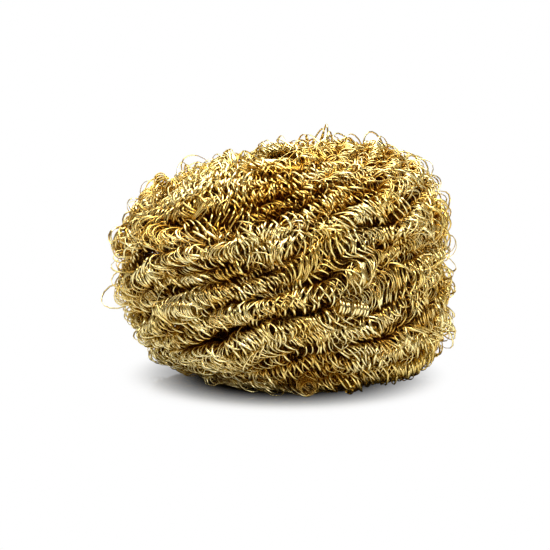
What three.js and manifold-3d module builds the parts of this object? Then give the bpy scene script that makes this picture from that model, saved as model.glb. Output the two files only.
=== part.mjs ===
// A ball of curled brass ribbon, used dry to wipe the tip of a soldering iron.
//
// Eight lengths of curled ribbon are wound side by side round the ball, from an eye in its foot to an eye in
// its crown. Inside them lies a stack of inner rolls, each of them one more length wound flat, and a small
// roll fills each eye. Nothing is fastened: the curls hold each other.
//
// An outer length is drawn as one tube as thick as its curls are wide. Its last stretch, on the crown, opens
// into the curls themselves. An inner roll is drawn as the plain round that its turns fill.
//
// Millimetres, +Z up. The origin is on the bench, under the middle of the ball, and the front faces -Y.

import * as THREE from "three";
import Module from "manifold-3d";
import { mergeVertices } from "three/addons/utils/BufferGeometryUtils.js";

// Driving dimensions: the whole ball, over its curls
const ball = {
  width: 60, // along X
  depth: 57, // along Y
  height: 41.3, // over the middle
  footRound: 16.9, // radius of the round between the foot and the side
  crownRound: 17.2, // radius of the round between the side and the crown
};

// Driving dimensions: how the winding was pressed out of true
const press = {
  lean: 7, // how far the foot lies to the right of the crown
  leanShare: 0.61, // share of the height at which the lean leaves the winding where it is
  rise: 4.9, // how much higher the crown would stand at the right edge than in the middle
  turn: 2.2, // how much further the side's rows climb to the right, from the middle to the right edge
  sag: 2, // how far the rows hang at the left and right edges, most of all half way up
  shoulder: 4.2, // how far the left side stands out near the crown and in near the foot
  hip: 2.6, // the same on the right side
  swell: 0.9, // height of the slow waves in the crown, which die away towards the foot
  swellAcross: 46, // length of those waves along X
  swellDeep: 34, // and along Y
  waist: 1, // how far the sides wave in and out
  waistPitch: 31, // length of that wave along Z
  ripple: 0.9, // how far the side's rows wave up and down
  ripplePitch: 23, // height in which those waves move on by one
};
const ripplesRound = 5; // waves in one time round the ball

// Driving dimensions: the outer lengths, wound side by side
const length = {
  count: 8,
  diameter: 3.5, // over the curls, corner to corner of the section
  gap: 0.5, // between neighbours
  footShare: 0.1, // share of the diameter that the bench presses flat
};

// Driving dimensions: how the outer lengths stand out unevenly, in two slow waves along each of them
const uneven = {
  out: 1.2, // at most
  pitch: 37, // length of the shorter wave
  slowPitch: 53, // length of the longer wave
  aheadShare: 0.41, // share of a wave by which a length is ahead of the one before
};
const lengthSides = 6;
const stepsPerLoop = 24;
const courseSteps = 4000; // steps in which the course is worked out

// Driving dimensions: the open curls at the crown end of each outer length
const curl = {
  wire: 0.8, // thickness of the ribbon, drawn round and stouter than it is
  pitch: 2.6, // from curl to curl
};
const openCurls = 3.5;
const stepsPerCurl = 8;
const leadSteps = 6; // steps over which the wire turns from straight to curled

// Driving dimensions: the inner rolls
const roll = {
  gap: 0.35, // between one roll and the next
  layerGap: 0.35, // between the rolls and the outer lengths
};
const rollSegments = 28;

// The tube's flat sides face out and in, so its layer is thinner than its corners are apart.
const layerThickness = length.diameter * Math.cos(Math.PI / lengthSides);
const spacing = length.diameter + length.gap;
const footLevel = -length.diameter * length.footShare;
const footRound = Math.min(ball.footRound, ball.height / 2, ball.width / 2);
const crownRound = Math.min(ball.crownRound, ball.height / 2, ball.width / 2);
const footRadius = ball.width / 2 - footRound;
const crownRadius = ball.width / 2 - crownRound;

// Lengths that keep one spacing all the way are involutes of this circle where the ball is flat.
const baseRadius = (length.count * spacing) / (2 * Math.PI);
// They start and end here, where their bend is no tighter than their spacing.
const eyeRadius = Math.hypot(baseRadius, spacing);

// A chord of the widest loop lies this far inside its arc.
const chordDip = (ball.width / 2) * (1 - Math.cos(Math.PI / stepsPerLoop));
const innerInset = layerThickness + roll.layerGap + chordDip;
const eyeRollRadius = eyeRadius - length.diameter / 2 - length.gap;

// The ball's outline as radius and height, from the middle of the foot to the middle of the crown, set in
// from the surface.
function outline(inset) {
  const path = new THREE.Path();
  path.moveTo(0, footLevel + inset);
  path.lineTo(footRadius, footLevel + inset);
  path.absarc(footRadius, footLevel + footRound, footRound - inset, -Math.PI / 2, 0);
  path.absarc(crownRadius, ball.height - crownRound, crownRound - inset, 0, Math.PI / 2);
  path.lineTo(0, ball.height - inset);
  return path;
}

// The radius of the set-in outline at a height.
function reach(height, inset) {
  const belowSide = footLevel + footRound - height;
  const aboveSide = height - (ball.height - crownRound);
  if (belowSide > 0) return footRadius + Math.sqrt(Math.max(0, (footRound - inset) ** 2 - belowSide ** 2));
  if (aboveSide > 0) return crownRadius + Math.sqrt(Math.max(0, (crownRound - inset) ** 2 - aboveSide ** 2));
  return ball.width / 2 - inset;
}

// Carries a point of the true, round winding to where it lies in the pressed ball. The bench stays flat.
function pressed(point) {
  const { x, y, z } = point;
  const level = z / ball.height;
  const right = x / (ball.width / 2);
  const wave =
    Math.sin((2 * Math.PI * x) / press.swellAcross) * Math.cos((2 * Math.PI * y) / press.swellDeep);
  const side = 1 + (press.waist / ball.width) * Math.sin((2 * Math.PI * z) / press.waistPitch);
  const tilt = (press.rise * right + press.swell * wave) * level;
  const middle = 4 * level * (1 - level); // one half way up, nought at the foot and the crown
  const phase = ripplesRound * Math.atan2(y, x) + (2 * Math.PI * z) / press.ripplePitch;
  const ripple = press.ripple * (Math.hypot(x, y) / (ball.width / 2)) ** 2 * Math.sin(phase);
  const climb = middle * (press.turn * right - press.sag * right ** 2 + ripple);
  const stand = press.hip * ((1 + right) / 2) ** 2 - press.shoulder * ((1 - right) / 2) ** 2;
  return new THREE.Vector3(
    x * side + press.lean * (press.leanShare - level) + stand * middle * (2 * level - 1),
    y * side * (ball.depth / ball.width),
    z + tilt + climb,
  );
}

// One outer length's course: stations with the turn about Z and the run along the length, so close together
// that the values between two of them follow a straight line.
function course() {
  const marks = outline(layerThickness / 2).getSpacedPoints(courseSteps);
  const stations = [];
  let turn = 0;
  let run = 0;
  for (let i = 1; i < marks.length; i++) {
    const middle = marks[i - 1].clone().add(marks[i]).divideScalar(2);
    if (middle.x < eyeRadius) continue;
    const climb = marks[i - 1].distanceTo(marks[i]);
    const sine = baseRadius / middle.x;
    turn += (climb * Math.sqrt(1 - sine ** 2)) / (sine * middle.x);
    run += climb / sine;
    stations.push({ turn, run, middle, slope: marks[i].clone().sub(marks[i - 1]).normalize(), sine });
  }
  return stations;
}

// The place on a course where its turn or its run has a given value, as a point with the directions along
// the length, out of the ball, and across the two.
function placeOn(stations, key, value, startAngle) {
  const after = stations.find((station) => station[key] >= value) ?? stations.at(-1);
  const before = stations[Math.max(0, stations.indexOf(after) - 1)];
  const width = after[key] - before[key];
  const share = width > 0 ? THREE.MathUtils.clamp((value - before[key]) / width, 0, 1) : 0;
  const middle = before.middle.clone().lerp(after.middle, share);
  const angle = startAngle + THREE.MathUtils.lerp(before.turn, after.turn, share);
  const radial = new THREE.Vector3(Math.cos(angle), Math.sin(angle), 0);
  const around = new THREE.Vector3(-Math.sin(angle), Math.cos(angle), 0);
  const up = new THREE.Vector3(0, 0, 1);
  const { slope, sine } = after;
  const climbing = radial.clone().multiplyScalar(slope.x).addScaledVector(up, slope.y);
  const along = around.multiplyScalar(Math.sqrt(1 - sine ** 2)).addScaledVector(climbing, sine);
  const out = radial.clone().multiplyScalar(slope.y).addScaledVector(up, -slope.x);
  return {
    point: radial.clone().multiplyScalar(middle.x).addScaledVector(up, middle.y),
    run: THREE.MathUtils.lerp(before.run, after.run, share),
    along,
    out,
    across: along.clone().cross(out),
  };
}

// A ring of points round a centre, with a flat side towards out.
function ring(centre, out, across, radius) {
  return Array.from({ length: lengthSides }, (_, side) => {
    const angle = ((side + 0.5) * 2 * Math.PI) / lengthSides;
    return centre
      .clone()
      .addScaledVector(out, radius * Math.cos(angle))
      .addScaledVector(across, radius * Math.sin(angle));
  });
}

// One closed tube through rings of points.
function tube(rings) {
  const last = (rings.length - 1) * lengthSides;
  const faces = [];
  for (let start = 0; start < last; start += lengthSides) {
    for (let side = 0; side < lengthSides; side++) {
      const next = (side + 1) % lengthSides;
      const near = [start + side, start + next];
      const far = near.map((corner) => corner + lengthSides);
      faces.push(near[0], near[1], far[1], near[0], far[1], far[0]);
    }
  }
  for (let side = 2; side < lengthSides; side++) {
    faces.push(0, side, side - 1, last, last + side - 1, last + side);
  }
  return new THREE.BufferGeometry().setFromPoints(rings.flat()).setIndex(faces);
}

// How far a length stands out at a place on its course. It dies away towards the foot, which stays flat.
function standOut(place, ahead) {
  const wave = Math.sin(2 * Math.PI * (place.run / uneven.pitch + ahead));
  const slowWave = Math.sin(2 * Math.PI * (place.run / uneven.slowPitch - ahead));
  const aboveFoot = Math.min(1, Math.max(0, place.point.z / footRound));
  return uneven.out * aboveFoot * (0.5 + (wave + slowWave) / 4);
}

// The thick part of an outer length, then its open curls: centres with the ring's directions and radius.
function lengthSections(stations, startAngle, ahead) {
  const placeAt = (key, value) => {
    const place = placeOn(stations, key, value, startAngle);
    place.point.addScaledVector(place.out, standOut(place, ahead));
    return place;
  };
  const step = curl.pitch / stepsPerCurl;
  const curledSteps = Math.round(openCurls * stepsPerCurl) + leadSteps;
  const end = stations.at(-1);
  const openFrom = end.run - curledSteps * step;
  const lastTurn = stations.find((station) => station.run >= openFrom).turn;
  const loopSteps = Math.ceil((lastTurn / (2 * Math.PI)) * stepsPerLoop);
  const sections = [];
  for (let i = 0; i <= loopSteps; i++) {
    const place = placeAt("turn", (lastTurn * i) / loopSteps);
    sections.push({ centre: place.point, ...place, radius: length.diameter / 2 });
  }

  const arm = layerThickness / 2 - curl.wire / 2;
  const wire = [];
  let angle = 0;
  for (let i = 1; i <= curledSteps; i++) {
    const place = placeAt("run", openFrom + i * step);
    const towards = place.out
      .clone()
      .multiplyScalar(Math.cos(angle))
      .addScaledVector(place.across, Math.sin(angle));
    wire.push({ centre: place.point.clone().addScaledVector(towards, arm), towards, along: place.along });
    angle += ((2 * Math.PI) / stepsPerCurl) * Math.min(1, i / leadSteps);
  }
  wire.forEach(({ centre, towards, along }, i) => {
    const ahead = wire[Math.min(i + 1, wire.length - 1)].centre;
    const behind = wire[Math.max(i - 1, 0)].centre;
    const heading = i === 0 ? along.clone() : ahead.clone().sub(behind).normalize();
    const out = towards.clone().addScaledVector(heading, -towards.dot(heading)).normalize();
    sections.push({ centre, out, across: heading.clone().cross(out), radius: curl.wire / 2 });
  });
  return sections;
}

// The least clear distance between two stretches of one length, in the pressed ball.
function leastGap(sections) {
  const centres = sections.map(({ centre }) => pressed(centre));
  const runs = [0];
  for (let i = 1; i < centres.length; i++) runs.push(runs[i - 1] + centres[i].distanceTo(centres[i - 1]));
  let least = Infinity;
  for (let i = 0; i < centres.length; i++) {
    for (let j = i + 1; j < centres.length; j++) {
      const thick = sections[i].radius + sections[j].radius;
      if (runs[j] - runs[i] < Math.PI * thick) continue;
      least = Math.min(least, centres[i].distanceTo(centres[j]) - thick);
    }
  }
  return least;
}

const kernel = await Module();
kernel.setup();

// A closed geometry as a solid that can be cut.
function solidOf(geometry) {
  const bare = geometry.clone();
  bare.deleteAttribute("normal");
  bare.deleteAttribute("uv");
  const merged = mergeVertices(bare);
  return new kernel.Manifold(
    new kernel.Mesh({
      numProp: 3,
      vertProperties: new Float32Array(merged.attributes.position.array),
      triVerts: new Uint32Array(merged.index.array),
    }),
  );
}

// A cut solid as a geometry.
function geometryOf(solid) {
  const mesh = solid.getMesh();
  return new THREE.BufferGeometry()
    .setAttribute("position", new THREE.BufferAttribute(mesh.vertProperties, 3))
    .setIndex(new THREE.BufferAttribute(mesh.triVerts, 1));
}

// Everything under the bench's surface, wider than the ball.
function bench() {
  const side = 2 * ball.width;
  return solidOf(new THREE.BoxGeometry(side, side, ball.height).translate(0, 0, -ball.height / 2));
}

function brass() {
  return new THREE.MeshStandardMaterial({ color: 0xd9b95c, roughness: 0.28, metalness: 1 });
}

// A named mesh whose own origin is at its seat, a point in the ball.
function piece(name, geometry, seat) {
  geometry.translate(-seat.x, -seat.y, -seat.z);
  geometry.computeVertexNormals();
  const mesh = new THREE.Mesh(geometry, brass());
  mesh.name = name;
  mesh.position.copy(seat);
  return mesh;
}

function outerLengths() {
  const group = new THREE.Group();
  const stations = course();
  const floor = bench();
  let least = Infinity;
  for (let i = 0; i < length.count; i++) {
    const sections = lengthSections(stations, (2 * Math.PI * i) / length.count, i * uneven.aheadShare);
    const rings = sections.map(({ centre, out, across, radius }) =>
      ring(centre, out, across, radius).map(pressed),
    );
    const cut = solidOf(tube(rings)).subtract(floor);
    const start = pressed(sections[0].centre);
    group.add(piece(`outer_length_${i + 1}`, geometryOf(cut), start));
    least = Math.min(least, leastGap(sections));
  }
  console.log(`least gap of a length to itself: ${least.toFixed(2)} mm`);
  return group;
}

// A solid of revolution about Z whose rim follows radii at even heights, pressed like the rest. Its faces have
// a ring where the eye rolls end, so that neighbours are pressed alike.
function round(name, bottom, top, radiusAt) {
  const rimSteps = 3;
  const hasRing = radiusAt(bottom) > eyeRollRadius;
  const profile = [new THREE.Vector2(0, bottom)];
  if (hasRing) profile.push(new THREE.Vector2(eyeRollRadius, bottom));
  for (let i = 0; i <= rimSteps; i++) {
    const height = THREE.MathUtils.lerp(bottom, top, i / rimSteps);
    profile.push(new THREE.Vector2(radiusAt(height), height));
  }
  if (hasRing) profile.push(new THREE.Vector2(eyeRollRadius, top));
  profile.push(new THREE.Vector2(0, top));
  const geometry = new THREE.LatheGeometry(profile, rollSegments).rotateX(Math.PI / 2);
  const places = geometry.attributes.position;
  const point = new THREE.Vector3();
  for (let i = 0; i < places.count; i++) {
    places.setXYZ(i, ...pressed(point.fromBufferAttribute(places, i)));
  }
  return piece(name, geometry, pressed(new THREE.Vector3(0, 0, bottom)));
}

function innerRolls() {
  const group = new THREE.Group();
  const bottom = footLevel + innerInset;
  const top = ball.height - innerInset;
  const count = Math.max(1, Math.floor((top - bottom + roll.gap) / (layerThickness + roll.gap)));
  const pitch = (top - bottom + roll.gap) / count;
  for (let i = 0; i < count; i++) {
    const low = bottom + i * pitch;
    group.add(round(`inner_roll_${i + 1}`, low, low + pitch - roll.gap, (height) => reach(height, innerInset)));
  }
  group.add(round("foot_eye_roll", 0, bottom - roll.gap, () => eyeRollRadius));
  group.add(round("crown_eye_roll", top + roll.gap, ball.height, () => eyeRollRadius));
  return group;
}

const brassBall = new THREE.Group();
brassBall.add(outerLengths(), innerRolls());

export default brassBall;
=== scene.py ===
"""Dresses the tip cleaning brass: curled brass ribbon, wound into a ball that stands on a white floor.

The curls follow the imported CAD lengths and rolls, by the same sizes in millimetres. Meshes are in metres.
"""

import logging
import math
from dataclasses import dataclass
from enum import Enum
from functools import cached_property

import bmesh
import bpy
import numpy as np
from mathutils import Matrix, Vector
from numpy.typing import NDArray


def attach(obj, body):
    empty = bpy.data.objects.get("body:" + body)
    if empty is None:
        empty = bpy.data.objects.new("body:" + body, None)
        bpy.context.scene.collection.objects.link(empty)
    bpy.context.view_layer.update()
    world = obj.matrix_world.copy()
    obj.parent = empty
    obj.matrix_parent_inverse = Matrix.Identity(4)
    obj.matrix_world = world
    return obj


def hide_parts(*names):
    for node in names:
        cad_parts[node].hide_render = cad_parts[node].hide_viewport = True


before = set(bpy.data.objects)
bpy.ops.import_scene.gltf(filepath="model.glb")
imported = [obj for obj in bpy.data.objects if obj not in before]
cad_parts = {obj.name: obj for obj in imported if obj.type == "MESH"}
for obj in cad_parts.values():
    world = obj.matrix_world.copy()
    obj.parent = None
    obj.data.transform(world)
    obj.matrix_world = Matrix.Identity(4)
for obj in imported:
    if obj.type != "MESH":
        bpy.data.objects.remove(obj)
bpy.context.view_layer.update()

Array = NDArray[np.float64]
Values = dict[str | int, object]
Place = tuple[float, float, float]

MILLIMETRE = 0.001
BODY = "root"
PAINTED_SHADE = "depth"
RUN = "run"
BAKE_MAP = "OFBake"
WHITE = "FFFFFF"
NOISE_LENGTH = 1000.0  # each ribbon starts somewhere in this length of the finish's noise
TRIANGLES_PER_FACE = 8  # two on each side of a ribbon and two on each of its rims

log = logging.getLogger("tip_cleaning_brass")


class Chance(Enum):
    """What a seed's first number stands for."""

    OUTER_ROW = 1
    INNER_ROLL = 2
    EYE_ROLL = 3
    LOOSE_END = 4


def linear(hex_colour: str) -> tuple[float, float, float, float]:
    """Turns an sRGB hex colour to the linear colour that a shader takes.

    Args:
        hex_colour: Six hex digits.

    Returns:
        Red, green and blue, and an alpha of one.
    """
    shares = [int(hex_colour[i : i + 2], 16) / 255 for i in (0, 2, 4)]
    red, green, blue = (s / 12.92 if s <= 0.04045 else ((s + 0.055) / 1.055) ** 2.4 for s in shares)
    return red, green, blue, 1.0


def add_node(tree: bpy.types.NodeTree, kind: str, settings: Values, links: Values) -> bpy.types.Node:
    """Adds one node with its settings and its inputs.

    Args:
        tree: The node tree that it goes into.
        kind: The node's type name.
        settings: Attributes of the node.
        links: A value or another node's output for each named or numbered input.

    Returns:
        The new node.
    """
    node = tree.nodes.new(kind)
    for name, value in settings.items():
        setattr(node, name, value)
    for name, value in links.items():
        if isinstance(value, bpy.types.NodeSocket):
            tree.links.new(value, node.inputs[name])
        else:
            node.inputs[name].default_value = value
    return node


def unit(vectors: Array) -> Array:
    """Returns the vectors at length one."""
    return vectors / np.linalg.norm(vectors, axis=-1, keepdims=True)


def wander(rng: np.random.Generator, where: Array, spacing: float, size: float) -> Array:
    """Draws a value that wanders smoothly along a length.

    Args:
        rng: The source of chance.
        where: Places along the length, from nought up.
        spacing: How far apart the chance values lie.
        size: Their standard deviation.

    Returns:
        One value for each place.
    """
    # The last place lies between two knots, and one more is drawn to spare.
    stretches = int(where[-1] / spacing)
    knots = rng.normal(0, size, stretches + 3)
    low = (where / spacing).astype(int)
    share = where / spacing - low
    ease = share * share * (3 - 2 * share)
    return knots[low] * (1 - ease) + knots[low + 1] * ease


def limited(values: Array, most: float) -> Array:
    """Bends values smoothly so that none passes the most, either way."""
    return most * np.tanh(values / most)


def above_floor(points: Array, least: float) -> Array:
    """Bends what would go under the floor up onto it.

    Args:
        points: Places, in millimetres.
        least: The least height.

    Returns:
        The places, none of them lower than that.
    """
    softness = 0.125
    heights = least + softness * np.logaddexp(0, (points[..., 2] - least) / softness)
    return np.concatenate([points[..., :2], heights[..., None]], axis=-1)


@dataclass(frozen=True)
class BallShape:
    """The pressed ball's outline and how it is out of true, in millimetres."""

    width: float = 60.0
    depth: float = 57.0
    height: float = 41.3
    foot_round: float = 16.9
    crown_round: float = 17.2
    foot_level: float = -0.35
    lean: float = 7.0
    lean_share: float = 0.61
    rise: float = 4.9
    turn: float = 2.2
    sag: float = 2.0
    shoulder: float = 4.2
    hip: float = 2.6
    swell: float = 0.9
    swell_across: float = 46.0
    swell_deep: float = 34.0
    waist: float = 1.0
    waist_pitch: float = 31.0
    ripple: float = 0.9
    ripple_pitch: float = 23.0
    ripples_round: int = 5
    arc_steps: int = 400
    outline_steps: int = 4000

    def outline(self, inset: float) -> Array:
        """Works out the half outline from the middle of the foot to the middle of the crown.

        Args:
            inset: How far inside the surface it runs.

        Returns:
            Radius and height of evenly spaced points.
        """
        angles = np.linspace(0, np.pi / 2, self.arc_steps)
        foot_radius = self.width / 2 - self.foot_round
        crown_radius = self.width / 2 - self.crown_round
        foot_arc = self.foot_round - inset
        crown_arc = self.crown_round - inset
        foot = foot_radius + foot_arc * np.sin(angles)
        crown = crown_radius + crown_arc * np.cos(angles)
        radii = np.concatenate([[0], foot, crown, [0]])
        foot = self.foot_level + self.foot_round - foot_arc * np.cos(angles)
        crown = self.height - self.crown_round + crown_arc * np.sin(angles)
        heights = np.concatenate([[self.foot_level + inset], foot, crown, [self.height - inset]])
        along = np.concatenate([[0], np.cumsum(np.hypot(np.diff(radii), np.diff(heights)))])
        even = np.linspace(0, along[-1], self.outline_steps)
        return np.stack([np.interp(even, along, radii), np.interp(even, along, heights)], axis=1)

    def pressed(self, points: Array) -> Array:
        """Carries points of the true, round winding to where they lie in the pressed ball.

        Args:
            points: Places in the round winding.

        Returns:
            The same points in the pressed ball.
        """
        x, y, z = points[..., 0], points[..., 1], points[..., 2]
        level = z / self.height
        right = x / (self.width / 2)
        wave = np.sin(2 * np.pi * x / self.swell_across) * np.cos(2 * np.pi * y / self.swell_deep)
        side = 1 + self.waist / self.width * np.sin(2 * np.pi * z / self.waist_pitch)
        tilt = (self.rise * right + self.swell * wave) * level
        middle = 4 * level * (1 - level)
        phase = self.ripples_round * np.arctan2(y, x) + 2 * np.pi * z / self.ripple_pitch
        ripple = self.ripple * (np.hypot(x, y) / (self.width / 2)) ** 2 * np.sin(phase)
        climb = middle * (self.turn * right - self.sag * right**2 + ripple)
        stand = self.hip * ((1 + right) / 2) ** 2 - self.shoulder * ((1 - right) / 2) ** 2
        across = x * side + self.lean * (self.lean_share - level) + stand * middle * (2 * level - 1)
        return np.stack([across, y * side * self.depth / self.width, z + tilt + climb], axis=-1)


@dataclass(frozen=True)
class Way:
    """Places on a way through the ball with the directions along it, out of the ball and across it."""

    points: Array
    along: Array
    out: Array
    across: Array


def way_round(radii: Array, heights: Array, angles: Array, slope: Array, sine: Array) -> Way:
    """Builds a way from places on the ball's outline turned about Z.

    Args:
        radii: Each place's distance from the axis.
        heights: Each place's height.
        angles: Each place's turn about Z.
        slope: The outline's direction there, as radius and height.
        sine: The share of the way's direction that climbs the outline.

    Returns:
        The way, before the ball is pressed.
    """
    flat = np.zeros_like(angles)
    radial = np.stack([np.cos(angles), np.sin(angles), flat], axis=1)
    around = np.stack([-np.sin(angles), np.cos(angles), flat], axis=1)
    up = np.stack([flat, flat, flat + 1], axis=1)
    climbing = radial * slope[:, :1] + up * slope[:, 1:]
    along = around * np.sqrt(1 - sine**2)[:, None] + climbing * sine[:, None]
    out = radial * slope[:, 1:] - up * slope[:, :1]
    return Way(radial * radii[:, None] + up * heights[:, None], along, out, np.cross(along, out))


@dataclass(frozen=True)
class Swelling:
    """A place in the round winding where the outer rows stand out further, or less far."""

    middle: Place
    reach: float
    out: float


@dataclass(frozen=True)
class Stations:
    """Stations along an outer course: turn about the axis, run, place, slope and share of climb."""

    turn: Array
    run: Array
    middle: Array
    slope: Array
    sine: Array


@dataclass(frozen=True)
class OuterCourse:
    """The way of the outer lengths, at one spacing from the eye in the foot to the eye in the crown."""

    ball: BallShape
    count: int
    spacing: float
    inset: float
    uneven_out: float = 1.2
    uneven_pitch: float = 37.0
    slow_pitch: float = 53.0
    ahead_share: float = 0.41
    swellings: tuple[Swelling, ...] = (
        Swelling((-28.0, -4.0, 30.0), 7.0, 1.5),
        Swelling((-25.0, -9.0, 9.0), 5.5, 1.6),
        Swelling((24.0, -4.0, 38.0), 7.0, 1.8),
        Swelling((-12.0, -6.0, 41.0), 8.0, -1.2),
        Swelling((-4.0, -21.0, 36.0), 9.0, -1.2),
    )

    @cached_property
    def stations(self) -> Stations:
        """The stations of the course, as far in as a length can wind round the eyes."""
        marks = self.ball.outline(self.inset)
        base_radius = self.count * self.spacing / (2 * np.pi)
        middle = (marks[1:] + marks[:-1]) / 2
        steps = np.diff(marks, axis=0)
        kept = middle[:, 0] > math.hypot(base_radius, self.spacing)
        middle, steps = middle[kept], steps[kept]
        climb = np.linalg.norm(steps, axis=1)
        sine = base_radius / middle[:, 0]
        turn = np.cumsum(climb * np.sqrt(1 - sine**2) / (sine * middle[:, 0]))
        return Stations(turn, np.cumsum(climb / sine), middle, steps / climb[:, None], sine)

    @property
    def length(self) -> float:
        """The length of one course."""
        return float(self.stations.run[-1])

    def stand_out(self, run: Array, heights: Array, number: int) -> Array:
        """Works out how far a length stands out along its run.

        Args:
            run: Places along the length.
            heights: Their heights.
            number: The length's number, from nought.

        Returns:
            The distances. They die away towards the foot.
        """
        ahead = number * self.ahead_share
        wave = np.sin(2 * np.pi * (run / self.uneven_pitch + ahead))
        slow_wave = np.sin(2 * np.pi * (run / self.slow_pitch - ahead))
        above_foot = np.clip(heights / self.ball.foot_round, 0, 1)
        return self.uneven_out * above_foot * (0.5 + (wave + slow_wave) / 4)

    def way(self, run: Array, number: int) -> Way:
        """Returns the way at the given runs, for the length of a number."""
        stations = self.stations
        values = (*stations.middle.T, stations.turn, *stations.slope.T, stations.sine)
        radii, heights, turns, slope_out, slope_up, sine = (np.interp(run, stations.run, v) for v in values)
        angles = turns + 2 * np.pi * number / self.count
        way = way_round(radii, heights, angles, np.stack([slope_out, slope_up], axis=1), sine)
        stand = self.stand_out(run, heights, number)
        for swelling in self.swellings:
            apart = np.linalg.norm(way.points - swelling.middle, axis=1)
            stand += swelling.out * np.exp(-((apart / swelling.reach) ** 2))
        return Way(way.points + way.out * stand[:, None], way.along, way.out, way.across)


@dataclass(frozen=True)
class RollCourse:
    """The way of a length that is wound flat, from its rim to its middle.

    Each roll starts further round than the last one, by turn_apart in radians.
    """

    radius: float
    height: float
    spacing: float
    eye: float = 1.5
    turn_apart: float = 2.4

    @property
    def length(self) -> float:
        """The length of the spiral."""
        return math.pi * (self.radius**2 - self.eye**2) / self.spacing

    def way(self, run: Array, number: int) -> Way:
        """Returns the way at the given runs, for the roll of a number."""
        radii = np.sqrt(np.maximum(self.radius**2 - run * self.spacing / math.pi, self.eye**2))
        angles = number * self.turn_apart + 2 * np.pi * (self.radius - radii) / self.spacing
        wall = np.tile([0.0, 1.0], (len(run), 1))
        return way_round(radii, np.full_like(run, self.height), angles, wall, np.zeros_like(run))


@dataclass(frozen=True)
class Ribbon:
    """Flat rolled brass ribbon."""

    width: float = 0.32
    thickness: float = 0.1

    def edges(self, places: Array, sideways: Array) -> Array:
        """Returns the ribbon's two edges beside its middle line."""
        half = sideways * self.width / 2
        return np.stack([places - half, places + half])


@dataclass(frozen=True)
class Pocket:
    """A round room in the ball, which its curls go round."""

    middle: Array
    reach: float


@dataclass(frozen=True)
class CurledRibbon:
    """A ribbon's two edges, by edge, step and coordinate, with each step's run and the painted shade that
    its depth in its row gives it.
    """

    edges: Array
    run: Array
    depth: Array

    def parted(self, pockets: list[Pocket]) -> "CurledRibbon":
        """Moves the ribbon aside where it would cross a pocket.

        Args:
            pockets: The pockets.

        Returns:
            The ribbon, which goes round them.
        """
        edges = self.edges
        for pocket in pockets:
            apart = edges - pocket.middle
            distance = np.linalg.norm(apart, axis=-1, keepdims=True)
            edges = pocket.middle + apart / distance * np.cbrt(distance**3 + pocket.reach**3)
        return CurledRibbon(edges, self.run, self.depth)


class Hand(Enum):
    """Which way a coil turns, seen from where it starts."""

    RIGHT = 1
    LEFT = -1


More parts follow.
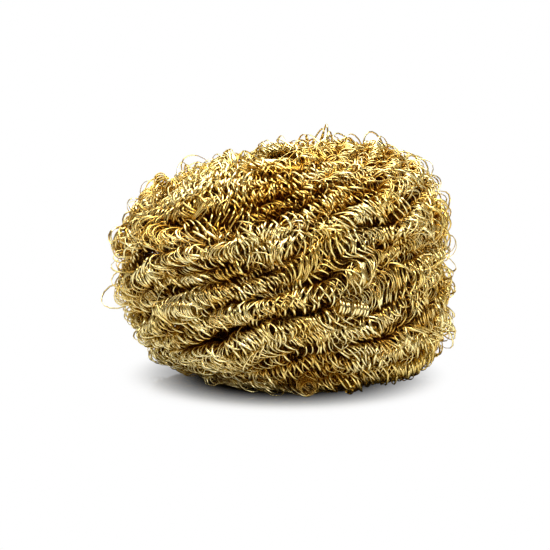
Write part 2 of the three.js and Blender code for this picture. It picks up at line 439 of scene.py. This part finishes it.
@dataclass(frozen=True)
class Curls:
    """How a ribbon is curled, in millimetres, and how far from even its curls are.

    A size whose name ends in apart says how far the chance values lie from each other: in millimetres along
    the row for sway, stray, swell and mess, and in turns for the rest. A group is a stretch of like curls,
    also in turns.
    """

    radius: float = 1.65
    pitch: float = 0.85
    steps: int = 12
    hand: Hand = Hand.RIGHT
    aside: float = 0.0
    proud: float = 0.0
    crowding: float = 0.5

    pace_apart: float = 9.0
    pace_change: float = 0.3
    quick_pace_apart: float = 3.0
    quick_pace_change: float = 0.15

    sway_out: float = 0.6
    sway_out_apart: float = 11.0
    sway_across: float = 0.8
    sway_across_apart: float = 10.0
    stray_out: float = 0.2
    stray_across: float = 0.3
    stray_apart: float = 7.0
    swell: float = 0.2
    swell_apart: float = 13.0

    mess: float = 1.0
    mess_change: float = 0.4
    mess_apart: float = 20.0
    crown_mess: float = 0.6

    group: float = 4.5
    group_dent: float = 0.1
    group_drift: float = 0.15
    curl_apart: float = 1.0
    curl_dent: float = 0.07
    curl_jolt: float = 0.12
    half_curl_apart: float = 0.5
    half_curl_dent: float = 0.04
    most_dent: float = 0.4
    ruffle: float = 0.22
    ruffle_apart: float = 1.3
    slant: float = 0.2
    slant_change: float = 0.6
    most_slant: float = 1.0
    bow_change: float = 1.6
    most_bow: float = 1.3
    twist_change: float = 0.3
    twist_apart: float = 1.5

    loose_share: float = 0.03
    loose_size: float = 1.0
    loose_least_share: float = 0.4
    loose_out_share: float = 0.5
    foot_share: float = 0.15
    free_height: float = 7.0

    # Painted shade: how much darker the colour is drawn at the back of each curl, and how much paler where
    # the row stands out.
    shade_behind: float = 1.6
    shade_between: float = 0.9

    def curled(
        self,
        course: OuterCourse | RollCourse,
        number: int,
        ball: BallShape,
        ribbon: Ribbon,
        seed: list[int],
    ) -> CurledRibbon:
        """Curls one ribbon along a course.

        Args:
            course: The course.
            number: The number of its length or roll.
            ball: The ball that the course is pressed into.
            ribbon: The ribbon.
            seed: The seed of its chance, of which the last number is the ribbon's own.

        Returns:
            The curled ribbon.
        """
        sway = np.random.default_rng(seed[:-1])
        rng = np.random.default_rng(seed)
        turns = np.arange(int(course.length / self.pitch) * self.steps) / self.steps

        def own(apart: float, size: float) -> Array:
            """Draws a change of this ribbon alone, by turns."""
            return wander(rng, turns, apart, size)

        def shared(apart: float, size: float) -> Array:
            """Draws a change that all ribbons of the row follow."""
            return wander(sway, run, apart, size)

        slow_pace = own(self.pace_apart, self.pace_change)
        quick_pace = own(self.quick_pace_apart, self.quick_pace_change * self.mess)
        run = np.cumsum(np.exp(slow_pace + quick_pace))
        run *= course.length / run[-1]
        way = course.way(run, number)
        row_out = self.proud + shared(self.sway_out_apart, self.sway_out)
        row_out += wander(rng, run, self.stray_apart, self.stray_out)
        row_across = self.aside + shared(self.sway_across_apart, self.sway_across)
        row_across += wander(rng, run, self.stray_apart, self.stray_across)
        swell = shared(self.swell_apart, self.swell)
        level = way.points[:, 2] / ball.height
        mess = self.mess * np.exp(shared(self.mess_apart, self.mess_change))
        mess *= 1 + self.crown_mess * level**2

        # A loose curl bulges where it is outermost. Near the foot the ball's weight keeps the curls in line.
        free = np.clip(way.points[:, 2] / self.free_height, self.foot_share, 1)
        loose_curls = rng.random(int(turns[-1]) + 2) < self.loose_share
        sizes = loose_curls * rng.uniform(self.loose_least_share, 1, len(loose_curls)) * self.loose_size
        outermost = turns + 0.5
        loose = sizes[outermost.astype(int)] * np.sin(np.pi * (outermost % 1)) ** 2 * free

        dents = own(self.group, self.group_dent)
        small_dents = own(self.curl_apart, self.curl_dent)
        small_dents += own(self.half_curl_apart, self.half_curl_dent)
        dents += mess * small_dents
        radius = self.radius * (1 + limited(dents + swell, self.most_dent)) + loose
        out = row_out + own(self.group, self.group_drift) + mess * own(self.ruffle_apart, self.ruffle)
        out += self.loose_out_share * loose
        across = row_across + own(self.group, self.group_drift) + mess * own(self.ruffle_apart, self.ruffle)
        slant = mess * (own(self.group, self.slant_change) + own(self.curl_apart, self.curl_jolt))
        slant = self.slant + free * limited(slant, self.most_slant)
        bow = own(self.group, self.bow_change) + mess * own(self.curl_apart, self.curl_jolt)
        bow = free * limited(bow, self.most_bow)
        angle = 2 * np.pi * turns
        angle = self.hand.value * (angle - self.crowding * np.sin(angle))

        front = unit(way.out + way.along * bow[:, None])
        flank = unit(way.across + way.along * slant[:, None])
        around = front * np.cos(angle)[:, None] + flank * np.sin(angle)[:, None]
        places = way.points + around * radius[:, None]
        places += way.out * out[:, None] + way.across * across[:, None]
        places = ball.pressed(places)

        # A curl whose middle lies lower than its own radius is lifted until it stands on the floor.
        middle_height = ball.pressed(way.points + way.out * out[:, None])[:, 2]
        places[:, 2] += np.maximum(0, radius + ribbon.width / 2 - middle_height)
        tangent = unit(np.gradient(places, axis=0))
        sideways = unit(np.cross(tangent, around))
        twist = (mess * own(self.twist_apart, self.twist_change))[:, None]
        sideways = sideways * np.cos(twist) + np.cross(tangent, sideways) * np.sin(twist)
        # Painted shade: darker towards the back of each curl, paler where the row stands out, darker where
        # it sinks in.
        depth = self.shade_behind * (1 - np.cos(angle)) / 2 - self.shade_between * out / (2 * self.radius)
        return CurledRibbon(ribbon.edges(places, sideways), run + NOISE_LENGTH * rng.random(), depth)


@dataclass(frozen=True)
class LooseEnd:
    """The end of a ribbon, curled up on its own, where the photograph shows one.

    It is placed by its middle in the photograph. Its axis is given in the row's own directions: along the
    row, across it downwards, and out of the ball.
    """

    seen: tuple[int, int]
    axis: Place
    radius: float
    last_radius: float
    turns: float
    pitch: float
    stand: float
    steps: int = 20
    rough: float = 0.07
    rough_apart: float = 0.5
    slow_rough_apart: float = 1.7
    gap_change: float = 0.3
    gap_apart: float = 0.7
    start_lean: float = 0.3
    shade: float = 0.35

    def direction(self, row: Array) -> Array:
        """Returns the direction of its axis, from the row's directions there: along, across and out."""
        return unit(np.array(self.axis) @ row)

    def pockets(self, middle: Array, row: Array) -> list[Pocket]:
        """Works out the room that the end takes up.

        Args:
            middle: Its middle.
            row: The row's directions there: along, across and out.

        Returns:
            Pockets side by side along the end.
        """
        half = max(self.pitch * self.turns / 2 - self.radius, 0)
        axis = self.direction(row)
        spots = np.linspace(-half, half, 1 + math.ceil(2 * half / self.radius))
        return [Pocket(middle + axis * spot, self.radius) for spot in spots]

    def curled(self, middle: Array, row: Array, ribbon: Ribbon, seed: list[int]) -> CurledRibbon:
        """Curls the end up.

        Args:
            middle: Its middle.
            row: The row's directions there: along, across and out.
            ribbon: The ribbon.
            seed: The seed of its chance.

        Returns:
            The curled ribbon.
        """
        rng = np.random.default_rng(seed)
        turns = np.arange(int(self.turns * self.steps)) / self.steps
        axis = self.direction(row)
        side = unit(np.cross(axis, row[2] + self.start_lean * row[0]))
        other = np.cross(axis, side)
        share = turns / turns[-1]
        angle = 2 * np.pi * turns
        around = side * np.cos(angle)[:, None] + other * np.sin(angle)[:, None]
        uneven = 1 + wander(rng, turns, self.rough_apart, self.rough)
        uneven += wander(rng, turns, self.slow_rough_apart, self.rough)
        radius = (self.radius + (self.last_radius - self.radius) * share) * uneven
        ahead = self.pitch * (turns - self.turns / 2 + wander(rng, turns, self.gap_apart, self.gap_change))
        places = middle + axis * ahead[:, None] + around * radius[:, None]
        sideways = unit(np.cross(unit(np.gradient(places, axis=0)), around))
        # Painted shade: the side of each curl that faces into the ball is drawn darker.
        depth = self.shade * (1 - around @ row[2])
        return CurledRibbon(ribbon.edges(places, sideways), angle * self.radius, depth)


@dataclass(frozen=True)
class Hollow:
    """A dark gap among the curls, where the photograph shows one. It is placed as a loose end is."""

    seen: tuple[int, int]
    reach: float
    stand: float = 1.2


def lay_out_map(mesh: bpy.types.Mesh, lane: Array, step: Array, side: Array) -> None:
    """Gives each face of the ribbons a plot of its own on the piece's map, row by row.

    Args:
        mesh: The piece's flat grids.
        lane: The number of the grid that each vertex is in.
        step: Each vertex's step along it.
        side: Nought or one, for the grid's two edges.
    """
    corners = np.empty(len(mesh.loops), dtype=int)
    mesh.loops.foreach_get("vertex_index", corners)
    corners = corners.reshape(-1, 4)
    first = step[corners].min(axis=1)
    lanes = lane[corners[:, 0]]
    faces = np.bincount(lanes)
    plot = (np.cumsum(faces) - faces)[lanes] + first
    margin_share = 0.1
    per_row = math.ceil(math.sqrt(len(corners)))
    rows = math.ceil(len(corners) / per_row)
    across = (plot[:, None] % per_row + step[corners] - first[:, None]) / per_row
    up = (plot[:, None] // per_row + margin_share + (1 - 2 * margin_share) * side[corners]) / rows
    baked = mesh.uv_layers.new(name=BAKE_MAP)
    baked.data.foreach_set("uv", np.stack([across, up], axis=-1).ravel())


def laid_ribbons(
    name: str,
    ribbons: list[CurledRibbon],
    thickness: float,
    material: bpy.types.Material,
    buried: float = 0.0,
) -> bpy.types.Object:
    """Lays flat grids out side by side and carries each onto its curled ribbon.

    Args:
        name: The piece's name.
        ribbons: The curled ribbons, in millimetres.
        thickness: The ribbon's thickness, in millimetres.
        material: Its finish.
        buried: How much more painted shade the piece takes than an outer row, for lying deeper, as a share
            of a row.

    Returns:
        The finished piece.
    """
    apart = 2
    bm = bmesh.new()
    for lane, ribbon in enumerate(ribbons):
        steps = ribbon.edges.shape[1] - 1
        place = Matrix.Translation((steps / 2, lane * apart, 0)) @ Matrix.Diagonal((steps, 1, 1, 1))
        bmesh.ops.create_grid(bm, x_segments=steps, y_segments=1, size=0.5, matrix=place)
    mesh = bpy.data.meshes.new(name)
    bm.to_mesh(mesh)
    bm.free()

    flat = np.empty(len(mesh.vertices) * 3)
    mesh.vertices.foreach_get("co", flat)
    flat = flat.reshape(-1, 3)
    lane = np.rint(flat[:, 1] / apart).astype(int)
    side = (flat[:, 1] > lane * apart).astype(int)
    step = np.rint(flat[:, 0]).astype(int)
    places = np.empty_like(flat)
    painted_shades = np.empty(len(flat))
    runs = np.empty(len(flat))
    # Each vertex keeps its painted shade value, which the finish darkens its colour by.
    for number, ribbon in enumerate(ribbons):
        mine = lane == number
        places[mine] = ribbon.edges[side[mine], step[mine]]
        painted_shades[mine] = ribbon.depth[step[mine]] + buried
        runs[mine] = ribbon.run[step[mine]]
    lay_out_map(mesh, lane, step, side)
    mesh.vertices.foreach_set("co", (above_floor(places, thickness) * MILLIMETRE).ravel())
    mesh.attributes.new(PAINTED_SHADE, "FLOAT", "POINT").data.foreach_set("value", painted_shades)
    mesh.attributes.new(RUN, "FLOAT", "POINT").data.foreach_set("value", runs)
    mesh.update()
    mesh.polygons.foreach_set("use_smooth", np.ones(len(mesh.polygons), bool))

    piece = bpy.data.objects.new(name, mesh)
    bpy.context.collection.objects.link(piece)
    mesh.materials.append(material)
    wall = piece.modifiers.new("ribbon thickness", "SOLIDIFY")
    wall.thickness = thickness * MILLIMETRE
    wall.offset = 0
    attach(piece, BODY)
    return piece


@dataclass(frozen=True)
class BrassFinish:
    """Bright rolled brass ribbon in painted light and shade: pale gold at the front of each curl, brown
    towards its back. Lengths are in millimetres.
    """

    # Painted shade: the colour runs from pale gold, where a curl faces out, to brown at its back and deep in
    # the ball.
    shade_ramp_tones: tuple[tuple[float, str], ...] = (
        (0.0, "F8E9AA"),
        (0.3, "D8B660"),
        (0.6, "B0883E"),
        (0.9, "946A2A"),
    )
    change: float = 0.4
    change_length: float = 4.0
    change_detail: float = 3.0
    edge_tint: str = "B89050"
    tarnish: str = "F0E0B4"
    tarnish_patch: float = 9.0
    tarnish_detail: float = 2.0
    tarnish_starts: float = 0.42
    tarnish_full: float = 0.62
    roughness: float = 0.26

    def material(self) -> bpy.types.Material:
        """Builds the material.

        Returns:
            A metal whose colour changes a little along each ribbon and over the ball, and is painted darker
            and browner as shade towards the back of each curl and deeper in the ball.
        """
        # Cold rolled brass leaves the mill bright and smooth, so the eye gets a narrow pale glint on each
        # curl. The deep gold to brown where ribbon faces ribbon, as if light had met brass more than once,
        # is painted shade in the colour.
        material = bpy.data.materials.new("rolled brass ribbon")
        material.use_nodes = True
        tree = material.node_tree
        tree.nodes.clear()
        run = add_node(tree, "ShaderNodeAttribute", {"attribute_name": RUN}, {}).outputs["Fac"]

        # The curling tool works the ribbon unevenly, so its tone changes every few curls along the row.
        stretches = add_node(
            tree,
            "ShaderNodeTexNoise",
            {"noise_dimensions": "1D"},
            {"W": run, "Scale": 1 / self.change_length, "Detail": self.change_detail},
        )
        change = add_node(
            tree,
            "ShaderNodeMapRange",
            {},
            {"Value": stretches.outputs["Fac"], "To Min": -self.change, "To Max": self.change},
        )
        # Painted shade: each place's painted shade value, moved a little by the change along the row, picks
        # its colour on the tones.
        depth = add_node(tree, "ShaderNodeAttribute", {"attribute_name": PAINTED_SHADE}, {}).outputs["Fac"]
        place = add_node(tree, "ShaderNodeMath", {"operation": "ADD"}, {0: depth, 1: change.outputs[0]})
        tone = add_node(tree, "ShaderNodeValToRGB", {}, {"Fac": place.outputs[0]})
        ramp = tone.color_ramp.elements
        for _ in self.shade_ramp_tones[2:]:
            ramp.new(0.5)
        for stop, (position, colour) in zip(ramp, self.shade_ramp_tones):
            stop.position = position
            stop.color = linear(colour)

        # Air tarnishes brass unevenly, which gives faint warm patches a few curls wide.
        where = add_node(tree, "ShaderNodeTexCoord", {}, {}).outputs["Object"]
        haze = add_node(
            tree,
            "ShaderNodeTexNoise",
            {},
            {
                "Vector": where,
                "Scale": 1 / (self.tarnish_patch * MILLIMETRE),
                "Detail": self.tarnish_detail,
            },
        )
        tarnished = add_node(
            tree,
            "ShaderNodeMapRange",
            {},
            {"Value": haze.outputs["Fac"], "From Min": self.tarnish_starts, "From Max": self.tarnish_full},
        )
        colour = add_node(
            tree,
            "ShaderNodeMix",
            {"data_type": "RGBA", "blend_type": "MULTIPLY"},
            {0: tarnished.outputs[0], 6: tone.outputs["Color"], 7: linear(self.tarnish)},
        )
        shader = add_node(
            tree,
            "ShaderNodeBsdfPrincipled",
            {},
            {
                "Base Color": colour.outputs[2],
                "Metallic": 1.0,
                "Roughness": self.roughness,
                "Specular Tint": linear(self.edge_tint),
            },
        )
        add_node(tree, "ShaderNodeOutputMaterial", {}, {"Surface": shader.outputs["BSDF"]})
        return material


@dataclass(frozen=True)
class WhiteSheet:
    """Glossy white plastic sheet under the ball. Lengths are in millimetres."""

    colour: str = "D8D8D8"
    roughness: float = 0.06
    mirror_ior: float = 1.4
    # Painted shadow: the colour the sheet is drawn in where the brass closes it in, and how near and how
    # closed that must be.
    painted_shadow_colour: str = "4A4430"
    contact_reach: float = 9.0
    contact_dark: float = 0.45
    contact_light: float = 0.85
    contact_samples: int = 16
    shadow_middle: Place = (0.0, -1.0, 0.0)
    shadow_reach: float = 16.0
    white_from: float = 33.0

    def material(self) -> bpy.types.Material:
        """Builds the material.

        Returns:
            A sheet that the camera sees pure white away from the object's shadow, with a painted shadow
            darkening it under the ball.
        """
        # Polished plastic sheet scatters white light evenly and mirrors faintly at a low angle, so the eye
        # gets bright white, a soft shadow where the brass stands, partly cast by the lamps and partly
        # painted into the sheet's colour, and a dim image of its curls.
        material = bpy.data.materials.new("white plastic sheet")
        material.use_nodes = True
        tree = material.node_tree
        tree.nodes.clear()
        # Painted shadow: the less open sky a place has within a few millimetres, the nearer its colour goes
        # to olive brown.
        open_sky = add_node(
            tree,
            "ShaderNodeAmbientOcclusion",
            {"samples": self.contact_samples},
            {"Distance": self.contact_reach * MILLIMETRE},
        )
        lit = add_node(
            tree,
            "ShaderNodeMapRange",
            {},
            {"Value": open_sky.outputs["AO"], "From Min": self.contact_dark, "From Max": self.contact_light},
        )
        tone = add_node(
            tree,
            "ShaderNodeMix",
            {"data_type": "RGBA"},
            {0: lit.outputs[0], 6: linear(self.painted_shadow_colour), 7: linear(self.colour)},
        )
        card = add_node(tree, "ShaderNodeBsdfDiffuse", {}, {"Color": tone.outputs[2]})

        place = add_node(tree, "ShaderNodeTexCoord", {}, {}).outputs["Object"]
        middle = tuple(value * MILLIMETRE for value in self.shadow_middle)
        distance = add_node(tree, "ShaderNodeVectorMath", {"operation": "DISTANCE"}, {0: place, 1: middle})
        far = add_node(
            tree,
            "ShaderNodeMapRange",
            {"interpolation_type": "SMOOTHSTEP"},
            {
                "Value": distance.outputs["Value"],
                "From Min": self.shadow_reach * MILLIMETRE,
                "From Max": self.white_from * MILLIMETRE,
            },
        )
        path = add_node(tree, "ShaderNodeLightPath", {}, {})
        seen = add_node(
            tree,
            "ShaderNodeMath",
            {"operation": "MULTIPLY"},
            {0: path.outputs["Is Camera Ray"], 1: far.outputs[0]},
        )
        white = add_node(tree, "ShaderNodeEmission", {}, {"Color": linear(WHITE), "Strength": 1.0})
        base = add_node(
            tree,
            "ShaderNodeMixShader",
            {},
            {0: seen.outputs[0], 1: card.outputs[0], 2: white.outputs[0]},
        )

        mirror = add_node(
            tree, "ShaderNodeBsdfGlossy", {}, {"Color": linear(WHITE), "Roughness": self.roughness}
        )
        facing = add_node(tree, "ShaderNodeFresnel", {}, {"IOR": self.mirror_ior})
        near = add_node(tree, "ShaderNodeMath", {"operation": "SUBTRACT"}, {0: 1.0, 1: far.outputs[0]})
        share = add_node(
            tree,
            "ShaderNodeMath",
            {"operation": "MULTIPLY"},
            {0: facing.outputs[0], 1: near.outputs[0]},
        )
        sheet = add_node(
            tree,
            "ShaderNodeMixShader",
            {},
            {0: share.outputs[0], 1: base.outputs[0], 2: mirror.outputs[0]},
        )
        add_node(tree, "ShaderNodeOutputMaterial", {}, {"Surface": sheet.outputs[0]})
        return material


@dataclass(frozen=True)
class Softbox:
    """A soft lamp: its place and its two sides in millimetres, and its power in watts."""

    name: str
    place: Place
    sides: tuple[float, float]
    power: float

    def hang(self, aim: Place) -> None:
        """Hangs the lamp so that it faces the aim."""
        data = bpy.data.lights.new(self.name, "AREA")
        data.shape = "RECTANGLE"
        data.size, data.size_y = (side * MILLIMETRE for side in self.sides)
        data.energy = self.power
        lamp = bpy.data.objects.new(self.name, data)
        bpy.context.collection.objects.link(lamp)
        lamp.location = Vector(self.place) * MILLIMETRE
        towards = Vector(aim) - Vector(self.place)
        lamp.rotation_euler = towards.to_track_quat("-Z", "Y").to_euler()


@dataclass(frozen=True)
class Studio:
    """The white floor, the soft light and the camera, in millimetres and degrees.

    The camera stands where the photograph's perspective puts it. The room's light is linear red, green and
    blue, and the backdrop brightens with the share of a direction that points away behind the ball.
    """

    lens: float = 85.0
    sensor: float = 36.0
    photo_size: int = 550
    distance: float = 253.0
    elevation: float = 9.0
    aim: Place = (-1.9, 0.0, 19.2)
    nearest: float = 10.0
    floor_size: float = 3000.0
    softboxes: tuple[Softbox, ...] = (
        Softbox("top softbox", (50.0, -85.0, 320.0), (230.0, 200.0), 1.6),
        Softbox("ceiling panel", (-50.0, 40.0, 240.0), (260.0, 200.0), 0.6),
        Softbox("low fill", (90.0, -200.0, 12.0), (120.0, 40.0), 0.1),
    )
    room_light: Place = (0.2, 0.18, 0.145)
    backdrop_starts_share: float = 0.1
    backdrop_full_share: float = 0.7

    def seen(self, points: Array) -> Array:
        """Works out where the camera sees places.

        Args:
            points: The places, in millimetres.

        Returns:
            Their places in the photograph, in pixels.
        """
        rise = math.radians(self.elevation)
        back = np.array([0, -math.cos(rise), math.sin(rise)])
        up = np.array([0, math.sin(rise), math.cos(rise)])
        apart = points - np.array(self.aim)
        scale = self.photo_size * self.lens / self.sensor / (self.distance - apart @ back)
        middle = self.photo_size / 2
        return np.stack([middle + apart[:, 0] * scale, middle - apart @ up * scale], axis=1)

    def camera(self) -> None:
        """Places the camera as the photograph was taken."""
        data = bpy.data.cameras.new("camera")
        data.lens = self.lens
        data.sensor_width = self.sensor
        data.clip_start = self.nearest * MILLIMETRE
        camera = bpy.data.objects.new("camera", data)
        bpy.context.collection.objects.link(camera)
        rise = math.radians(self.elevation)
        back = Vector((0, -math.cos(rise), math.sin(rise)))
        camera.location = (Vector(self.aim) + back * self.distance) * MILLIMETRE
        camera.rotation_euler = (-back).to_track_quat("-Z", "Y").to_euler()
        bpy.context.scene.camera = camera

    def floor(self) -> None:
        """Lays the white floor."""
        bm = bmesh.new()
        half = self.floor_size / 2 * MILLIMETRE
        bmesh.ops.create_grid(bm, x_segments=1, y_segments=1, size=half)
        mesh = bpy.data.meshes.new("floor")
        bm.to_mesh(mesh)
        bm.free()
        floor = bpy.data.objects.new("floor", mesh)
        bpy.context.collection.objects.link(floor)
        mesh.materials.append(WhiteSheet().material())

    def world(self) -> None:
        """Makes the surroundings: a white backdrop behind the ball, and a dim room behind the camera."""
        world = bpy.data.worlds.new("studio")
        bpy.context.scene.world = world
        world.use_nodes = True
        tree = world.node_tree
        tree.nodes.clear()
        path = add_node(tree, "ShaderNodeLightPath", {}, {})
        way = add_node(tree, "ShaderNodeTexCoord", {}, {}).outputs["Generated"]
        parts = add_node(tree, "ShaderNodeSeparateXYZ", {}, {"Vector": way})
        behind = add_node(
            tree,
            "ShaderNodeMapRange",
            {},
            {
                "Value": parts.outputs["Y"],
                "From Min": self.backdrop_starts_share,
                "From Max": self.backdrop_full_share,
            },
        )
        bent = add_node(
            tree,
            "ShaderNodeMath",
            {"operation": "MAXIMUM"},
            {0: path.outputs["Is Glossy Ray"], 1: path.outputs["Is Transmission Ray"]},
        )
        shown = add_node(
            tree, "ShaderNodeMath", {"operation": "MULTIPLY"}, {0: bent.outputs[0], 1: behind.outputs[0]}
        )
        seen = add_node(
            tree,
            "ShaderNodeMath",
            {"operation": "MAXIMUM"},
            {0: shown.outputs[0], 1: path.outputs["Is Camera Ray"]},
        )
        dim = add_node(tree, "ShaderNodeBackground", {}, {"Color": (*self.room_light, 1.0), "Strength": 1.0})
        white = add_node(tree, "ShaderNodeBackground", {}, {"Color": linear(WHITE), "Strength": 1.0})
        mix = add_node(
            tree,
            "ShaderNodeMixShader",
            {},
            {0: seen.outputs[0], 1: dim.outputs[0], 2: white.outputs[0]},
        )
        add_node(tree, "ShaderNodeOutputWorld", {}, {"Surface": mix.outputs[0]})

    def build(self) -> None:
        """Sets up the whole studio."""
        self.camera()
        self.floor()
        for softbox in self.softboxes:
            softbox.hang(self.aim)
        self.world()
        bpy.context.scene.view_settings.view_transform = "Standard"


@dataclass(frozen=True)
class OuterWinding:
    """The outer lengths, wound side by side round the ball."""

    ball: BallShape
    ribbon: Ribbon
    finish: bpy.types.Material
    studio: Studio
    count: int = 8
    spacing: float = 4.0
    inset: float = 1.516
    kinds: tuple[Curls, ...] = (
        Curls(
            radius=1.75,
            pitch=0.85,
            slant=0.1,
            slant_change=0.5,
            mess=0.6,
            stray_out=0.3,
            loose_share=0.12,
            loose_size=1.2,
        ),
        Curls(
            radius=1.5,
            pitch=1.0,
            hand=Hand.LEFT,
            slant=-0.1,
            slant_change=0.9,
            proud=0.2,
            stray_out=0.45,
            stray_across=0.8,
            loose_share=0.12,
            loose_size=1.2,
        ),
        Curls(radius=1.4, pitch=0.9, slant=0.1, aside=2.0, proud=-0.3, stray_out=0.4, stray_across=0.6),
        Curls(
            radius=1.6,
            pitch=1.4,
            slant=0.1,
            slant_change=1.0,
            group=3.0,
            mess=1.2,
            proud=0.2,
            stray_out=0.4,
            stray_across=1.0,
            loose_share=0.35,
            loose_size=1.6,
        ),
        Curls(
            radius=1.5,
            pitch=0.9,
            hand=Hand.LEFT,
            slant=-0.1,
            proud=-0.6,
            mess=1.2,
            stray_out=0.4,
            stray_across=1.0,
        ),
    )
    loose_ends: tuple[LooseEnd, ...] = (
        LooseEnd((366, 285), (0.25, -0.15, 1.0), 2.2, 0.5, 10, 0.2, 1.7),
        LooseEnd((344, 362), (-0.35, 0.25, 1.0), 1.7, 0.5, 8, 0.25, 1.5),
        LooseEnd((348, 304), (1.0, 0.4, 0.0), 1.3, 1.2, 11, 0.55, 1.7, shade=0.2),
        LooseEnd((179, 313), (1.0, 0.05, 0.0), 1.4, 1.5, 21, 0.5, 2.1, shade=0.3),
        LooseEnd((161, 178), (0.6, 0.3, 0.8), 2.4, 1.0, 9, 0.45, 3.4),
        LooseEnd((147, 198), (0.8, 0.3, 0.5), 1.8, 1.4, 7, 0.5, 2.0),
        LooseEnd((243, 157), (0.4, 0.1, 1.0), 1.2, 0.4, 7, 0.25, 1.4),
        LooseEnd((306, 387), (0.3, -0.8, 1.0), 1.6, 1.4, 8, 0.45, 2.2),
        LooseEnd((330, 384), (-0.4, -0.8, 1.0), 1.5, 1.2, 8, 0.45, 2.2),
        LooseEnd((351, 386), (-0.9, -0.6, 0.8), 1.4, 0.9, 8, 0.4, 2.2),
    )
    hollows: tuple[Hollow, ...] = (
        Hollow((352, 288), 1.4),
        Hollow((376, 333), 1.3),
        Hollow((310, 262), 1.3),
        Hollow((304, 306), 1.2),
        Hollow((265, 318), 1.3),
        Hollow((330, 322), 1.1),
        Hollow((290, 228), 1.4),
    )
    station_spacing: float = 0.5

    def ends_on(self, course: OuterCourse) -> tuple[list[list[CurledRibbon]], list[Pocket]]:
        """Sets each loose end and hollow on the row that passes nearest to its place in the photograph.

        Args:
            course: The course of the outer lengths.

        Returns:
            The curled ends of each length, and the pockets that the other curls go round.
        """
        run = np.arange(0, course.length, self.station_spacing)
        ways = [course.way(run, number) for number in range(self.count)]
        points = np.concatenate([self.ball.pressed(way.points) for way in ways])
        rows = np.concatenate([np.stack([way.along, way.across, way.out], axis=1) for way in ways])
        front = points[:, 1] < 0

        def nearest(seen: tuple[int, int], stand: float, radius: float) -> tuple[int, Array]:
            """Returns the nearest station's number and the middle of what stands on it there."""
            raised = points + rows[:, 2] * stand
            raised[:, 2] = np.maximum(raised[:, 2], radius + self.ribbon.width)
            apart = np.linalg.norm(self.studio.seen(raised) - seen, axis=1)
            station = int(np.where(front, apart, np.inf).argmin())
            return station, raised[station]

        ends: list[list[CurledRibbon]] = [[] for _ in range(self.count)]
        pockets: list[Pocket] = []
        for order, end in enumerate(self.loose_ends):
            station, middle = nearest(end.seen, end.stand, end.radius)
            seed = [Chance.LOOSE_END.value, order]
            ends[station // len(run)].append(end.curled(middle, rows[station], self.ribbon, seed))
            pockets += end.pockets(middle, rows[station])
        for hollow in self.hollows:
            _, middle = nearest(hollow.seen, hollow.stand, hollow.reach)
            pockets.append(Pocket(middle, hollow.reach))
        return ends, pockets

    def build(self) -> list[bpy.types.Object]:
        """Builds one piece for each outer length.

        Returns:
            The pieces.
        """
        course = OuterCourse(self.ball, self.count, self.spacing, self.inset)
        ends, pockets = self.ends_on(course)
        pieces = []
        for number in range(self.count):
            ribbons = []
            for lane, curls in enumerate(self.kinds):
                seed = [Chance.OUTER_ROW.value, number, lane]
                curled = curls.curled(course, number, self.ball, self.ribbon, seed)
                ribbons.append(curled.parted(pockets))
            name = f"outer_curls_{number + 1}"
            piece = laid_ribbons(name, ribbons + ends[number], self.ribbon.thickness, self.finish)
            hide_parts(f"outer_length_{number + 1}")
            pieces.append(piece)
        return pieces


@dataclass(frozen=True)
class InnerStack:
    """The inner lengths, each wound flat, that fill the ball."""

    ball: BallShape
    ribbon: Ribbon
    finish: bpy.types.Material
    count: int = 10
    inset: float = 3.64
    spacing: float = 3.4
    # Painted shade: the inner rolls are drawn darker than the outer rows.
    buried: float = 0.35
    curls: Curls = Curls(
        radius=1.65, pitch=1.0, steps=9, loose_share=0.0, mess=0.7, sway_out=0.3, sway_across=0.2
    )

    def build(self) -> list[bpy.types.Object]:
        """Builds one piece for each inner roll.

        Returns:
            The pieces.
        """
        bottom = self.ball.foot_level + self.inset
        pitch = (self.ball.height - self.inset - bottom) / self.count
        outline = self.ball.outline(self.inset + self.curls.radius)
        pieces = []
        for number in range(self.count):
            height = bottom + (number + 0.5) * pitch
            radius = float(outline[np.abs(outline[:, 1] - height).argmin(), 0])
            course = RollCourse(radius, height, self.spacing)
            seed = [Chance.INNER_ROLL.value, number, 0]
            curled = self.curls.curled(course, number, self.ball, self.ribbon, seed)
            name = f"inner_curls_{number + 1}"
            piece = laid_ribbons(name, [curled], self.ribbon.thickness, self.finish, self.buried)
            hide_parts(f"inner_roll_{number + 1}")
            pieces.append(piece)
        return pieces


@dataclass(frozen=True)
class EyeRolls:
    """The small rolls in the eyes of the foot and the crown."""

    ball: BallShape
    ribbon: Ribbon
    finish: bpy.types.Material
    radius: float = 2.6
    inset: float = 1.7
    spacing: float = 2.6
    eye: float = 0.4
    curls: Curls = Curls(radius=1.6, pitch=0.7, loose_share=0.15, sway_out=0.3, sway_across=0.3)

    def build(self) -> list[bpy.types.Object]:
        """Builds the two rolls.

        Returns:
            The pieces.
        """
        pieces = []
        ends = {"foot": self.inset, "crown": self.ball.height - self.inset}
        for number, (end, height) in enumerate(ends.items()):
            course = RollCourse(self.radius, height, self.spacing, self.eye)
            seed = [Chance.EYE_ROLL.value, number, 0]
            curled = self.curls.curled(course, number, self.ball, self.ribbon, seed)
            piece = laid_ribbons(f"{end}_eye_curls", [curled], self.ribbon.thickness, self.finish)
            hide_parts(f"{end}_eye_roll")
            pieces.append(piece)
        return pieces


def main() -> None:
    """Builds the studio and the ball, and reports each piece."""
    logging.basicConfig(level=logging.INFO, format="%(message)s")
    studio = Studio()
    studio.build()
    ball = BallShape()
    ribbon = Ribbon()
    brass = BrassFinish().material()
    total = 0
    outer = OuterWinding(ball, ribbon, brass, studio)
    for part in (outer, InnerStack(ball, ribbon, brass), EyeRolls(ball, ribbon, brass)):
        for piece in part.build():
            triangles = TRIANGLES_PER_FACE * len(piece.data.polygons)
            total += triangles
            log.info("%s: %d triangles", piece.name, triangles)
    log.info("triangles in all: %d", total)


if __name__ == "__main__":
    main()
